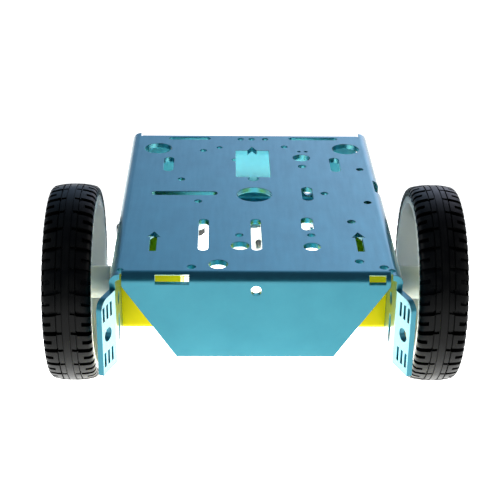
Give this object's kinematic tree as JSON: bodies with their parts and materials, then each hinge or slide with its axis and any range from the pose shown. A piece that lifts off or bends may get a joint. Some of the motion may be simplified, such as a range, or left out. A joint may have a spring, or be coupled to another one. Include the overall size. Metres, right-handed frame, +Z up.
{
  "type": "two wheel robot car chassis",
  "caption": "Robot car chassis: bent blue aluminium plate, geared motors driving white-rimmed wheels at the back, ball caster at the front.",
  "frame": {"origin": "on the floor, at the middle of the car's bounding box", "axes": "+Z up, +Y the driving direction, +X to the car's right"},
  "size_m": [0.1304, 0.1238, 0.064],
  "materials": {
    "anodised_blue": "blue anodised, fine satin",
    "yellow_plastic": "moulded, semi-gloss",
    "gear_nylon": "moulded nylon",
    "steel": "drawn steel",
    "zinc_steel": "bright zinc",
    "black_steel": "black oxide",
    "magnet": "sintered ferrite",
    "brass": "turned",
    "white_plastic": "moulded, satin",
    "clear_plastic": "clear, thin",
    "rim_plastic": "moulded, semi-gloss",
    "tyre_rubber": "black rubber, matte",
    "ball_steel": "polished steel ball"
  },
  "bodies": {
    "chassis": {"chassis_plate": "anodised_blue", "left_gearbox_outer": "yellow_plastic", "left_gearbox_inner": "yellow_plastic", "left_gear_pins": "steel", "left_gearbox_screws": "zinc_steel", "left_motor_can": "steel", "left_motor_magnets": "magnet", "left_motor_end_cap": "white_plastic", "left_motor_terminals": "brass", "left_motor_strap": "clear_plastic", "left_mount_screws": "zinc_steel", "left_mount_nuts": "zinc_steel", "right_gearbox_outer": "yellow_plastic", "right_gearbox_inner": "yellow_plastic", "right_gear_pins": "steel", "right_gearbox_screws": "zinc_steel", "right_motor_can": "steel", "right_motor_magnets": "magnet", "right_motor_end_cap": "white_plastic", "right_motor_terminals": "brass", "right_motor_strap": "clear_plastic", "right_mount_screws": "zinc_steel", "right_mount_nuts": "zinc_steel", "caster_screws": "black_steel", "caster_nuts": "black_steel", "caster_housing": "white_plastic", "caster_ring": "white_plastic"},
    "left_wheel": {"left_output_gear": "gear_nylon", "left_wheel_rim": "rim_plastic", "left_tyre": "tyre_rubber", "left_wheel_screw": "zinc_steel"},
    "left_idler": {"left_idler_gear": "gear_nylon"},
    "left_crown": {"left_crown_gear": "gear_nylon"},
    "left_rotor": {"left_motor_rotor": "brass"},
    "right_wheel": {"right_output_gear": "gear_nylon", "right_wheel_rim": "rim_plastic", "right_tyre": "tyre_rubber", "right_wheel_screw": "zinc_steel"},
    "right_idler": {"right_idler_gear": "gear_nylon"},
    "right_crown": {"right_crown_gear": "gear_nylon"},
    "right_rotor": {"right_motor_rotor": "brass"},
    "caster_ball_body": {"caster_ball": "ball_steel"}
  },
  "joints": [
    {"name": "left_wheel_spin", "type": "hinge", "parent": "chassis", "child": "left_wheel", "pos_m": [-0.05, -0.02095, 0.032], "axis": [1, 0, 0], "continuous": true},
    {"name": "left_idler_spin", "type": "hinge", "parent": "chassis", "child": "left_idler", "pos_m": [-0.036, -0.0097, 0.032], "axis": [1, 0, 0], "continuous": true},
    {"name": "left_crown_spin", "type": "hinge", "parent": "chassis", "child": "left_crown", "pos_m": [-0.032, -0.0022, 0.032], "axis": [1, 0, 0], "continuous": true},
    {"name": "left_rotor_spin", "type": "hinge", "parent": "chassis", "child": "left_rotor", "pos_m": [-0.0328, 0.01405, 0.032], "axis": [0, 1, 0], "continuous": true},
    {"name": "right_wheel_spin", "type": "hinge", "parent": "chassis", "child": "right_wheel", "pos_m": [0.05, -0.02095, 0.032], "axis": [1, 0, 0], "continuous": true},
    {"name": "right_idler_spin", "type": "hinge", "parent": "chassis", "child": "right_idler", "pos_m": [0.036, -0.0097, 0.032], "axis": [1, 0, 0], "continuous": true},
    {"name": "right_crown_spin", "type": "hinge", "parent": "chassis", "child": "right_crown", "pos_m": [0.032, -0.0022, 0.032], "axis": [1, 0, 0], "continuous": true},
    {"name": "right_rotor_spin", "type": "hinge", "parent": "chassis", "child": "right_rotor", "pos_m": [0.0328, 0.01405, 0.032], "axis": [0, 1, 0], "continuous": true},
    {"name": "caster_roll", "type": "hinge", "parent": "chassis", "child": "caster_ball_body", "pos_m": [0, 0.04705, 0.0075], "axis": [1, 0, 0], "continuous": true}
  ],
  "couplings": [
    {"joint": "left_idler_spin", "follows": "left_wheel_spin", "ratio": -4},
    {"joint": "left_crown_spin", "follows": "left_wheel_spin", "ratio": 16},
    {"joint": "left_rotor_spin", "follows": "left_wheel_spin", "ratio": -48},
    {"joint": "right_idler_spin", "follows": "right_wheel_spin", "ratio": -4},
    {"joint": "right_crown_spin", "follows": "right_wheel_spin", "ratio": 16},
    {"joint": "right_rotor_spin", "follows": "right_wheel_spin", "ratio": 48}
  ]
}
